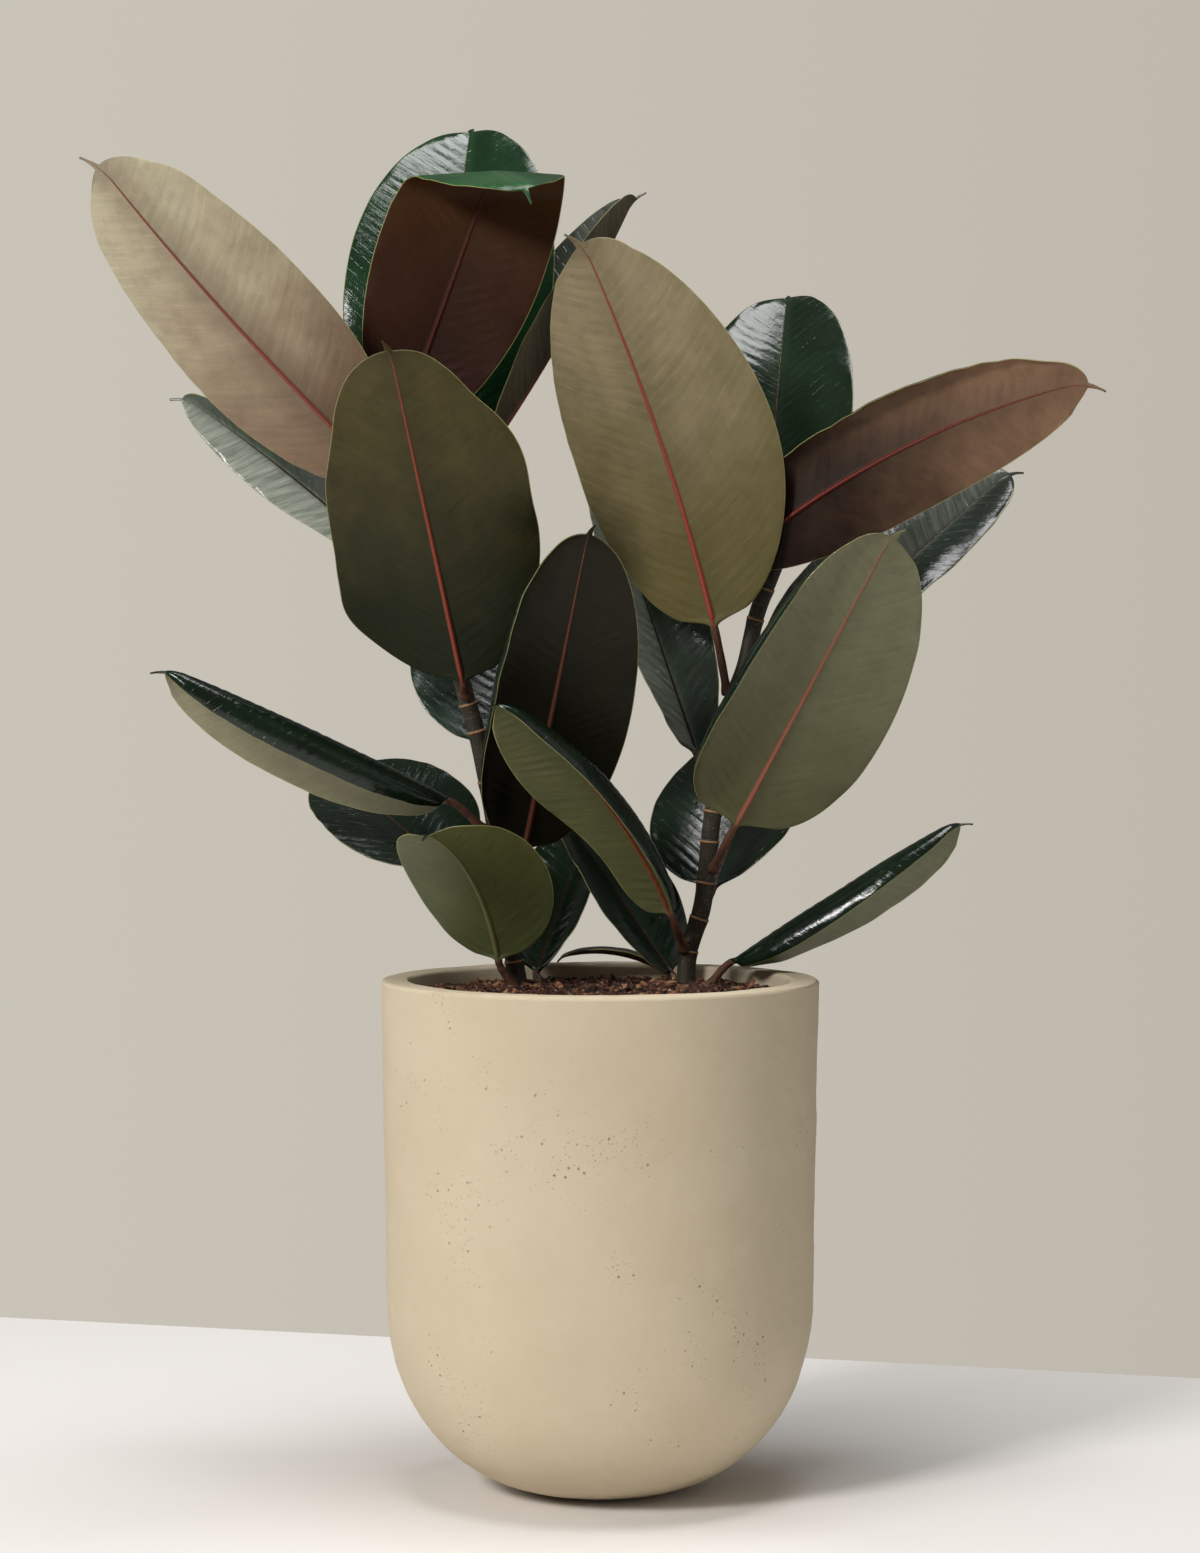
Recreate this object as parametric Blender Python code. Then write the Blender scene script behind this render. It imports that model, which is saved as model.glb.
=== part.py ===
"""Potted rubber plant: a round-bottomed planter, potting mix, two stems and 23 leaves.

Metres, +Z up, the planter's base on z = 0 and its axis on the Z axis.
A leaf is one grown piece: its petiole, midrib and blade are lofted as a single closed body.
"""
import bpy
import numpy as np

# ---- planter ---------------------------------------------------------------
POT_RADIUS = 0.150          # outside, at the rim
POT_HEIGHT = 0.350
POT_TAPER = 0.0036          # how much narrower the wall is where the rounding starts
POT_ROUNDING = 0.128        # height over which the bottom rounds in
POT_FOOT = 0.034            # radius of the flat it stands on
POT_WALL = 0.0195
POT_FLOOR = 0.024
RIM_EDGE = 0.0030           # rounding of the rim's two edges
# ---- potting mix -----------------------------------------------------------
SOIL_RECESS = 0.0120        # below the rim, at the wall
SOIL_MOUND = 0.0020         # rise towards the middle
POCKET_DEPTH = 0.045        # how deep the stems are set
GAP = 0.0003                # between neighbouring pieces
# ---- stems and leaves ------------------------------------------------------
STEM_RADIUS = 0.0064
PETIOLE_RADIUS = 0.0026
BLADE_THICKNESS = 0.0011
LEAF_SCALE = 1.0            # length and width of all the blades together
BUD_LENGTH = 0.030

# millimetres: sideways, front to back, above the mix
STEM_LINES = {
    "left": [(-57, 55, 0), (-66, 50, 60), (-72, 46, 107), (-80, 42, 153), (-86, 40, 181),
             (-96, 36, 216), (-104, 30, 258), (-110, 25, 313), (-113, 20, 340)],
    "right": [(60, 55, 0), (62, 55, 27), (71, 53, 56), (75, 52, 84), (78, 50, 118), (85, 48, 161),
              (93, 45, 203), (101, 43, 227), (108, 40, 259), (115, 38, 279), (122, 35, 297)],
}
STEM_NODES = {"left": (20, 60, 107, 146, 181, 200, 230, 270, 300, 322),
              "right": (27, 50, 75, 104, 125, 160, 195, 203, 259, 280)}

# One line per leaf.  from: the stem, or the mix for a leaf that rises from it;
# at: height of the joint above the mix, or the place on the mix;
# petiole: length, azimuth, lift; blade: length, width, azimuth, lift; millimetres and degrees.
LEAVES = {
    "01": dict(on="left", at=328, petiole=(50, -153, 34), blade=(296, 116, -165, 47), roll=58,
               fold=(12, 12), bend=8, hook=-30, bumps=([(.86, .10, .08)], [(.86, .10, .08)])),
    "02": dict(on="left", at=336, petiole=(56, -160, 59), blade=(275, 116, 0, 70), roll=-90,
               hook=0, fold=(-4, -4), belly=.50, nod=((159, 195, 107), (237, 255, 62))),
    "03": dict(on="left", at=200, petiole=(22, -100, 40), blade=(262, 145, -112, 62), roll=12,
               fold=(8, 8), wave=5, belly=.47,
               bumps=([(.17, .23, .13), (.72, -.10, .12)], [(.62, .07, .10), (.82, -.10, .08)])),
    "04": dict(on="left", at=318, petiole=(58, 82, 62), blade=(275, 155, 82, 68), roll=-4,
               fold=(12, 12), bend=-30, bumps=([(.12, -.30, .14)], [])),
    "05": dict(on="left", at=325, petiole=(72, 20, 55), blade=(214, 92, 28, 58), roll=0,
               fold=(48, 35), bend=10, bumps=([], [(.12, -.5, .2)])),
    "06": dict(on="left", at=270, petiole=(42, 165, 33), blade=(214, 50, 162, 37), roll=-85,
               fold=(42, 20), bend=-10, bumps=([(.2, -.25, .2)], [(.2, -.25, .2)])),
    "07": dict(on="left", at=105, petiole=(45, -157, 38), blade=(228, 85, -165, 25), roll=45,
               fold=(0, -5), cup=(-20, -165)),
    "08": dict(on="left", at=80, petiole=(36, 168, 6), blade=(160, 112, 130, 25), roll=-22,
               fold=(15, 15)),
    "09": dict(on="mix", at=(-59, 30), petiole=(26, -150, 60), blade=(146, 104, -118, 42),
               roll=12, fold=(14, 9), bend=-60, hook=-50),
    "10": dict(on="right", at=22, petiole=(46, -111, 44), blade=(228, 85, -139, 43), roll=45,
               bend=-36, fold=(5, -10), cup=(-10, -130), bumps=([(.28, -.36, .26)], [])),
    "11": dict(on="left", at=45, petiole=(56, -50, 72), blade=(262, 108, -69, 60), roll=-20,
               fold=(5, 5), curl=(-150, 0)),
    "12": dict(on="left", at=112, petiole=(60, 107, 75), blade=(172, 130, 81, 52), fold=(12, 12)),
    "13": dict(on="right", at=195, petiole=(63, -118, 66), blade=(292, 138, -157, 69), roll=50,
               fold=(10, 10), bend=-12, bumps=([], [(.4, .14, .35)])),
    "14": dict(on="right", at=275, petiole=(34, 80, 45), blade=(234, 125, 80, 61), roll=-8,
               fold=(15, 15), bend=-25),
    "15": dict(on="right", at=292, petiole=(31, -162, 12), blade=(290, 90, -18, 25), roll=-84,
               bend=-28, fold=(5, 5), curl=(-120, 0), belly=.46),
    "16": dict(on="right", at=200, petiole=(46, 50, 15), blade=(258, 105, 24, 39), roll=35,
               fold=(12, 12), bumps=([(.5, -.32, .35)], [])),
    "17": dict(on="right", at=75, petiole=(54, -57, 49), blade=(250, 135, -41, 56), roll=-42,
               fold=(3, 8), curl=(-150, 0), belly=.40),
    "18": dict(on="right", at=50, petiole=(34, 68, 34), blade=(170, 132, 66, 43), roll=-8,
               fold=(15, 15)),
    "19": dict(on="right", at=125, petiole=(42, 138, 69), blade=(253, 85, 146, 68), roll=-40,
               fold=(42, 42)),
    "20": dict(on="mix", at=(76, 58), petiole=(24, 0, 50), blade=(197, 78, -7, 32), roll=-45,
               fold=(-8, 5), cup=(-120, -10), twist=-20),
    "21": dict(on="mix", at=(53, 77), petiole=(10, 120, 60), blade=(158, 84, 168, 55), roll=-26,
               fold=(28, 18)),
    "22": dict(on="mix", at=(-42, 85), petiole=(10, 130, 60), blade=(140, 72, 62, 52),
               fold=(30, 30)),
    "23": dict(on="mix", at=(52, 110), petiole=(10, 170, 60), blade=(82, 32, 180, 6), bend=-50,
               fold=(10, 10)),
}
# how finely a blade is cut along its length, and across each half
ALONG = (0, .02, .05, .10, .17, .26, .36, .47, .58, .68, .77, .85, .91, .945, .965, 1)
NOD_ALONG = (.52, .55, .62, .65, .71, .74, .80, .88, .93)
ACROSS = (.35, .70)
ACROSS_ROLLED = (.25, .50, .75)
RIB = .07                   # half width of the midrib's ridge, as a share of the half blade

for thing in list(bpy.data.objects):
    bpy.data.objects.remove(thing, do_unlink=True)


# ---- small helpers ---------------------------------------------------------
def direction(azimuth, lift):
    a, l = np.radians(azimuth), np.radians(lift)
    return np.stack([np.cos(a) * np.cos(l), np.sin(a) * np.cos(l), np.sin(l)], -1)


def unit(v):
    return v / np.linalg.norm(v)


def material(name, colour, roughness, metallic=0.0):
    m = bpy.data.materials.new(name)
    m.use_nodes = True
    shader = m.node_tree.nodes["Principled BSDF"]
    shader.inputs["Base Color"].default_value = (*colour, 1)
    shader.inputs["Roughness"].default_value = roughness
    shader.inputs["Metallic"].default_value = metallic
    return m


def solid(name, verts, faces, mat):
    mesh = bpy.data.meshes.new(name)
    mesh.from_pydata([tuple(map(float, v)) for v in verts], [], faces)
    mesh.materials.append(mat)
    mesh.validate()
    obj = bpy.data.objects.new(name, mesh)
    bpy.context.collection.objects.link(obj)
    return obj


def loft(rings):
    """closed body from rings of equal length, both ends closed"""
    n, verts, faces = len(rings[0]), np.concatenate(rings), []
    for i in range(len(rings) - 1):
        for k in range(n):
            a, b = i * n + k, i * n + (k + 1) % n
            faces.append((a, b, b + n, a + n))
    faces.append(tuple(reversed(range(n))))
    last = (len(rings) - 1) * n
    faces.append(tuple(range(last, last + n)))
    return verts, faces


def turned(profile, count):
    """closed body of revolution; the profile starts and ends on the axis"""
    angle = 2 * np.pi * np.arange(count) / count
    verts, faces, rows = [], [], []
    for r, z in profile:
        if r < 1e-6:
            rows.append([len(verts)] * count)
            verts.append((0, 0, z))
        else:
            rows.append(list(range(len(verts), len(verts) + count)))
            verts += [(r * np.cos(a), r * np.sin(a), z) for a in angle]
    for low, high in zip(rows[:-1], rows[1:]):
        for k in range(count):
            j = (k + 1) % count
            ids = []
            for v in (low[k], low[j], high[j], high[k]):
                if v not in ids:
                    ids.append(v)
            faces.append(tuple(ids))
    return verts, faces


# ---- planter and mix -------------------------------------------------------
def pot_radius(z, inset=0.0):
    """radius of the outside wall, or of a wall set in by inset, at height z"""
    lift = POT_FLOOR if inset else 0.0
    foot = POT_FOOT * (.8 if inset else 1)
    shoulder = POT_RADIUS - POT_TAPER - inset
    if z < POT_ROUNDING:
        x = min(1, (POT_ROUNDING - z) / (POT_ROUNDING - lift))
        return foot + (shoulder - foot) * np.sqrt(max(0, 1 - x * x))
    return shoulder + POT_TAPER * (z - POT_ROUNDING) / (POT_HEIGHT - POT_ROUNDING)


def wall_heights(lift):
    turn = np.radians([0, 9, 19, 30, 42, 54, 66, 78, 90])
    curve = POT_ROUNDING - (POT_ROUNDING - lift) * np.cos(turn)
    return list(curve) + [POT_ROUNDING + .10]


def make_pot(mat):
    top, e = POT_HEIGHT, RIM_EDGE
    outer = [(0, 0)] + [(pot_radius(z), z) for z in wall_heights(0)]
    inner = [(pot_radius(z, POT_WALL), z) for z in wall_heights(POT_FLOOR)] + []
    r0, r1 = pot_radius(top), pot_radius(top, POT_WALL)
    rim = [(pot_radius(top - e), top - e), (r0 - .3 * e, top - .3 * e), (r0 - e, top),
           (r1 + e, top), (r1 + .3 * e, top - .3 * e), (pot_radius(top - e, POT_WALL), top - e)]
    profile = outer + rim + inner[::-1] + [(0, POT_FLOOR)]
    return solid("pot", *turned(profile, 48), mat)


def mix_height(x, y):
    r = np.hypot(x, y) / (POT_RADIUS - POT_WALL)
    return POT_HEIGHT - SOIL_RECESS + SOIL_MOUND * max(0, 1 - r * r)


def make_mix(mat):
    level, inset = POT_HEIGHT - SOIL_RECESS, POT_WALL + GAP
    side = [(pot_radius(z, POT_WALL) - GAP * 1.6, z + GAP) for z in wall_heights(POT_FLOOR)]
    wall = pot_radius(level, inset) - GAP
    top = [(wall * f, mix_height(wall * f, 0)) for f in (1, .8, .55, .3)]
    profile = [(0, POT_FLOOR + GAP)] + side + top + [(0, mix_height(0, 0))]
    mix = solid("potting_mix", *turned(profile, 48), mat)
    for name, line in STEM_LINES.items():
        x, y = line[0][0] / 1000, line[0][1] / 1000
        bpy.ops.mesh.primitive_cylinder_add(vertices=24, radius=STEM_RADIUS * 1.06 + 2 * GAP,
                                            depth=2 * (POCKET_DEPTH + GAP), location=(x, y, level))
        cutter = bpy.context.object
        cut = mix.modifiers.new("pocket", "BOOLEAN")
        cut.operation, cut.solver, cut.object = "DIFFERENCE", "EXACT", cutter
        bpy.context.view_layer.objects.active = mix
        bpy.ops.object.modifier_apply(modifier=cut.name)
        bpy.data.objects.remove(cutter, do_unlink=True)
    return mix


# ---- stems -----------------------------------------------------------------
def stem_curve(name, count=160):
    """smooth centre line above the mix, by Catmull-Rom; heights run from the mix up"""
    p = np.array(STEM_LINES[name], float) / 1000
    p[:, 2] += POT_HEIGHT - SOIL_RECESS
    q = np.vstack([2 * p[0] - p[1], p, 2 * p[-1] - p[-2]])
    out = []
    for s in np.linspace(0, len(p) - 1, count):
        i = min(int(s), len(p) - 2)
        u = s - i
        a, b, c, d = q[i:i + 4]
        out.append(.5 * (2 * b + (c - a) * u + (2 * a - 5 * b + 4 * c - d) * u ** 2
                         + (3 * b - a - 3 * c + d) * u ** 3))
    return np.array(out)


def stem_at(name, height):
    line = stem_curve(name)
    z = POT_HEIGHT - SOIL_RECESS + height
    point = np.array([np.interp(z, line[:, 2], line[:, k]) for k in range(3)])
    ahead = np.array([np.interp(z + .004, line[:, 2], line[:, k]) for k in range(3)])
    behind = np.array([np.interp(z - .004, line[:, 2], line[:, k]) for k in range(3)])
    return point, unit(ahead - behind)


def stem_radius(height, top):
    return STEM_RADIUS * (1.06 - .16 * height / top)


def make_stem(name, mat, sides=12):
    line = STEM_LINES[name]
    top = line[-1][2] / 1000
    low = POT_HEIGHT - SOIL_RECESS
    x, y = line[0][0] / 1000, line[0][1] / 1000
    stations = [(np.array([x, y, low - POCKET_DEPTH + .001]), np.array([0, 0, 1.]),
                 STEM_RADIUS * .9)]
    heights = set(np.round(np.linspace(0, top, 13), 4))
    for node in STEM_NODES[name]:
        heights = {h for h in heights if abs(h - node / 1000) > .008}
        heights |= {node / 1000 - .002, node / 1000, node / 1000 + .002}
    for h in sorted(heights):
        point, along = stem_at(name, h)
        swell = .0005 if any(abs(h - n / 1000) < .0005 for n in STEM_NODES[name]) else 0
        stations.append((point, along, stem_radius(h, top) + swell))
    point, along = stem_at(name, top)
    for f, r in ((.35, .80), (.75, .45), (1, .10)):
        stations.append((point + along * BUD_LENGTH * f, along, STEM_RADIUS * .85 * r))
    angle = 2 * np.pi * np.arange(sides) / sides
    rings = []
    for point, along, r in stations:
        s = unit(np.cross([0, 1, 0], along))
        n = np.cross(along, s)
        rings.append(point + r * (np.cos(angle)[:, None] * s + np.sin(angle)[:, None] * n))
    return solid("stem_" + name, *loft(rings), mat)


# ---- leaves ----------------------------------------------------------------
def blade_line(leaf, start):
    """midrib from the blade's base: shares, points, tangents, sideways and upper-face axes"""
    length, width, azimuth, lift = leaf["blade"]
    t = np.linspace(0, 1, 121)
    if "span" in leaf:
        lo, hi = leaf["span"]
        x = np.clip((t - lo) / (hi - lo), 0, 1)
        lift = lift + leaf.get("bend", 0) * x * x * (3 - 2 * x)
    else:
        lift = lift + leaf.get("bend", 0) * (t - .5)
    lift = lift + leaf.get("hook", -40) * np.clip((t - .9) / .1, 0, 1)
    azimuth = azimuth + leaf.get("sweep", 0) * (t - .5)
    along = direction(azimuth, lift)
    steps = .5 * (along[1:] + along[:-1]) * LEAF_SCALE * length / 1000 / 120
    points = start + np.vstack([np.zeros(3), np.cumsum(steps, 0)])
    a = np.radians(azimuth)
    side = np.stack([-np.sin(a), np.cos(a), 0 * a], -1)
    face = np.cross(along, side)
    r = np.radians(leaf.get("roll", 0) + leaf.get("twist", 0) * (t - .5))[:, None]
    return t, points, along, side * np.cos(r) + face * np.sin(r), face * np.cos(r) - side * np.sin(r)


def half_width(t, leaf, half):
    """half width of the blade at share t of its length, metres"""
    drip, belly = .045, leaf.get("belly", .45)
    u = np.clip(t / (1 - drip), 0, 1)
    x = 2 * u ** (np.log(.5) / np.log(belly)) - 1
    body = np.where(x < 0, np.clip(1 - np.abs(x) ** 2, 0, 1) ** .62,
                    np.clip(1 - np.abs(x) ** 2.2, 0, 1) ** .55)
    tail = .055 * np.clip((1 - t) / drip / 1.6, 0, 1) ** .8
    w = np.maximum(body, np.where(t > 1 - 1.6 * drip, tail, 0))
    for at, amount, spread in leaf.get("bumps", ((), ()))[half]:
        w = w * (1 + amount * np.exp(-((t - at) / spread) ** 2))
    return np.maximum(w * LEAF_SCALE * leaf["blade"][1] / 2000, .0007)


def nodded(leaf, place, normal, start):
    """bends a blade over level lines towards the front, by how high above its base each point is"""
    if "nod" not in leaf:
        return place, normal
    rise = np.linspace(-.02, .34, 721)
    turn = np.radians(sum(a * np.clip((rise - lo / 1000) / (hi - lo) * 1000, 0, 1)
                          for lo, hi, a in leaf["nod"]))
    step = rise[1] - rise[0]
    up = rise[0] + np.concatenate([[0], np.cumsum(np.cos(.5 * (turn[1:] + turn[:-1]))) * step])
    out = np.concatenate([[0], np.cumsum(np.sin(.5 * (turn[1:] + turn[:-1]))) * step])
    h, off = place[..., 2] - start[2], start[1] - place[..., 1]
    a = np.interp(h, rise, turn)
    c, s = np.cos(a), np.sin(a)
    forward, high = np.interp(h, rise, out) + off * c, np.interp(h, rise, up) - off * s
    bent = np.stack([place[..., 0], start[1] - forward, start[2] + high], -1)
    n = np.stack([normal[..., 0], normal[..., 1] * c - normal[..., 2] * s,
                  normal[..., 2] * c + normal[..., 1] * s], -1)
    return bent, n


def blade_point(leaf, t, s, frame):
    """point of the blade's middle surface and its normal; s from -1 (right) to 1 (left)"""
    point, along, side, face, start = frame
    half, q = (1 if s > 0 else 0), abs(s)
    w = half_width(t, leaf, half)
    steps = np.linspace(0, q, 13)
    roll_off = leaf.get("curl", (0, 0))[half] * np.sin(np.pi * t) ** .5
    angle = np.radians(leaf["fold"][half] + leaf.get("cup", (0, 0))[half] * steps
                       + roll_off * steps ** 4)
    mean = .5 * (angle[1:] + angle[:-1])
    out, up = q * np.cos(mean).mean(), q * np.sin(mean).mean()
    wave = leaf.get("wave", 0) / 1000 * np.sin(np.pi * t) * q * q * np.sin(
        2 * np.pi * (2.5 * t + (0, .35)[half]))
    sign = 1 if s > 0 else -1
    place = point + side * sign * out * w + face * (up * w + wave)
    a = angle[-1] if q else 0
    return nodded(leaf, place, face * np.cos(a) - side * sign * np.sin(a), start)


def blade_ring(leaf, t, frame, across, blend, radius):
    """one ring: the upper face from right to left, then the under face back"""
    cuts = sorted(across)
    upper = [-1] + [-c for c in reversed(cuts)] + [0] + cuts + [1]
    under = list(reversed(cuts)) + [RIB, 0, -RIB] + [-c for c in cuts]
    point, along, side, face, start = frame
    rib = PETIOLE_RADIUS * 1.5 * (1 - t) ** .8 + .0002
    ring = []
    for s in upper:
        place, normal = blade_point(leaf, t, s, frame)
        thick = BLADE_THICKNESS * .5 * (0 if abs(s) == 1 else 1)
        ring.append(place + normal * thick)
    for s in under:
        place, normal = blade_point(leaf, t, s, frame)
        thick = BLADE_THICKNESS * .5 + (rib if s == 0 else 0)
        ring.append(place - normal * thick)
    ring = np.array(ring)
    if blend < 1:
        ring = circle_ring(point, side, face, radius, across) * (1 - blend) + ring * blend
    return ring


def circle_ring(point, side, face, radius, across):
    up, down = 2 * len(across) + 3, 2 * len(across) + 3
    angle = np.concatenate([np.linspace(np.pi, 0, up), -np.linspace(0, np.pi, down + 2)[1:-1]])
    return point + radius * (np.cos(angle)[:, None] * side + np.sin(angle)[:, None] * face)


def petiole_start(leaf):
    """where the petiole's axis meets its joint, the joint's outward normal, and its direction"""
    length, azimuth, lift = leaf["petiole"]
    toward = direction(azimuth, lift)
    if leaf["on"] == "mix":
        x, y = leaf["at"][0] / 1000, leaf["at"][1] / 1000
        axis = np.array([x, y, POT_HEIGHT - SOIL_RECESS])
        return axis, np.array([x, y, mix_height(x, y) + GAP]), np.array([0, 0, 1.]), toward
    axis, along = stem_at(leaf["on"], leaf["at"] / 1000)
    out = unit(toward - along * np.dot(toward, along))
    top = STEM_LINES[leaf["on"]][-1][2] / 1000
    near = stem_radius(leaf["at"] / 1000, top) + .0005 + GAP
    run = near / np.dot(toward, out)
    return axis, axis + toward * run, out, toward


def make_leaf(name, leaf, mat):
    axis, joint, out, toward = petiole_start(leaf)
    length = leaf["petiole"][0] / 1000
    start = axis + toward * length
    t, points, along, side, face = blade_line(leaf, start)
    rolled = min(leaf.get("cup", (0, 0)) + leaf.get("curl", (0, 0))) < -60
    across = ACROSS_ROLLED if rolled or "nod" in leaf else ACROSS
    rings = []
    reach = np.linalg.norm(start - joint)
    for u in (0, .35, .70):
        a, b = joint + toward * reach * .36, start - along[0] * reach * .30
        p = ((1 - u) ** 3 * joint + 3 * u * (1 - u) ** 2 * a + 3 * u * u * (1 - u) * b + u ** 3 * start)
        d = unit(3 * (1 - u) ** 2 * (a - joint) + 6 * u * (1 - u) * (b - a) + 3 * u * u * (start - b))
        s = unit(side[0] - d * np.dot(side[0], d))
        ring = circle_ring(p, s, np.cross(d, s), PETIOLE_RADIUS * (1.15 - .15 * u), across)
        if u == 0:
            ring = ring + toward * (((joint - ring) @ out) / np.dot(toward, out))[:, None]
        rings.append(ring)
    for share in sorted(set(ALONG) | set(NOD_ALONG if "nod" in leaf else ())):
        frame = [np.array([np.interp(share, t, v[:, k]) for k in range(3)])
                 for v in (points, along, side, face)] + [start]
        blend = min(1, share / .05)
        rings.append(blade_ring(leaf, share, frame, across, blend, PETIOLE_RADIUS))
    return solid("leaf_" + name, *loft([ring[::-1] for ring in rings]), mat)


# ---- the whole thing -------------------------------------------------------
make_pot(material("cast_stone", (.62, .54, .40), .78))
make_mix(material("potting_mix", (.045, .026, .018), .95))
bark = material("stem_bark", (.105, .085, .045), .62)
for stem in STEM_LINES:
    make_stem(stem, bark)
foliage = {
    "leaf_olive": material("leaf_olive", (.085, .085, .035), .42),
    "leaf_taupe": material("leaf_taupe", (.230, .185, .125), .45),
    "leaf_maroon": material("leaf_maroon", (.100, .045, .025), .42),
    "leaf_green": material("leaf_green", (.012, .055, .030), .25),
}
TONES = {"01": "leaf_taupe", "13": "leaf_taupe", "02": "leaf_maroon", "15": "leaf_maroon",
         "03": "leaf_olive", "07": "leaf_olive", "09": "leaf_olive", "10": "leaf_olive",
         "11": "leaf_olive", "17": "leaf_olive", "20": "leaf_olive"}
for number, leaf in LEAVES.items():
    make_leaf(number, leaf, foliage[TONES.get(number, "leaf_green")])
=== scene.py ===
"""Looks of the potted rubber plant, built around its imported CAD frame.

Every leaf is lofted again from the design values that the CAD part uses, finely enough for its
veins, midrib and margin to be real relief.  Metres, +Z up, the planter's axis on the Z axis.
"""

import bmesh
import bpy
import numpy as np
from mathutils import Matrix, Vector


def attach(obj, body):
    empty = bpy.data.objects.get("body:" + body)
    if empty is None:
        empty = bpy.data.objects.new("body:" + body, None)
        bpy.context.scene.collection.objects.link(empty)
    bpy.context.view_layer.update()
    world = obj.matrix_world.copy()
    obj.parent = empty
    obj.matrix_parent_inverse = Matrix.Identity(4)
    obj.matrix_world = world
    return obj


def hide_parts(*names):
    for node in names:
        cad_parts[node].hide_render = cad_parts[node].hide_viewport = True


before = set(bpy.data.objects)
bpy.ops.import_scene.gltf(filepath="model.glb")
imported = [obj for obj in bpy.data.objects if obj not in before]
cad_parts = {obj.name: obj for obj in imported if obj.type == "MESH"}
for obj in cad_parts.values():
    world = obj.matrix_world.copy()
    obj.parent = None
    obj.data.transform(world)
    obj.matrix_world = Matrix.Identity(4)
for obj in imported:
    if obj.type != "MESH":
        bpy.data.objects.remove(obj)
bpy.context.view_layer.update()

# ---- planter ---------------------------------------------------------------
POT_RADIUS = 0.150          # outside, at the rim
POT_HEIGHT = 0.350
POT_TAPER = 0.0036          # how much narrower the wall is where the rounding starts
POT_ROUNDING = 0.128        # height over which the bottom rounds in
POT_FOOT = 0.034            # radius of the flat it stands on
POT_WALL = 0.0195
POT_FLOOR = 0.024
RIM_EDGE = 0.0030           # rounding of the rim's two edges
# ---- potting mix -----------------------------------------------------------
SOIL_RECESS = 0.0120        # below the rim, at the wall
SOIL_MOUND = 0.0020         # rise towards the middle
MIX_LEVEL = POT_HEIGHT - SOIL_RECESS
GAP = 0.0003                # between neighbouring pieces
# ---- stems and leaves ------------------------------------------------------
STEM_RADIUS = 0.0064
PETIOLE_RADIUS = 0.0026
LEAF_SCALE = 1.0            # length and width of all the blades together
DRIP_TIP = .045             # share of a blade's length
WIDEST = .45                # where along a blade it is widest, unless its line below says so
SMALLEST_HALF = .0007       # half width that a blade never falls below
BUD_LENGTH = 0.030

# millimetres: sideways, front to back, above the mix
STEM_LINES = {
    "left": [(-57, 55, 0), (-66, 50, 60), (-72, 46, 107), (-80, 42, 153), (-86, 40, 181),
             (-96, 36, 216), (-104, 30, 258), (-110, 25, 313), (-113, 20, 340)],
    "right": [(60, 55, 0), (62, 55, 27), (71, 53, 56), (75, 52, 84), (78, 50, 118), (85, 48, 161),
              (93, 45, 203), (101, 43, 227), (108, 40, 259), (115, 38, 279), (122, 35, 297)],
}
STEM_NODES = {"left": (20, 60, 107, 146, 181, 200, 230, 270, 300, 322),
              "right": (27, 50, 75, 104, 125, 160, 195, 203, 259, 280)}

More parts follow.
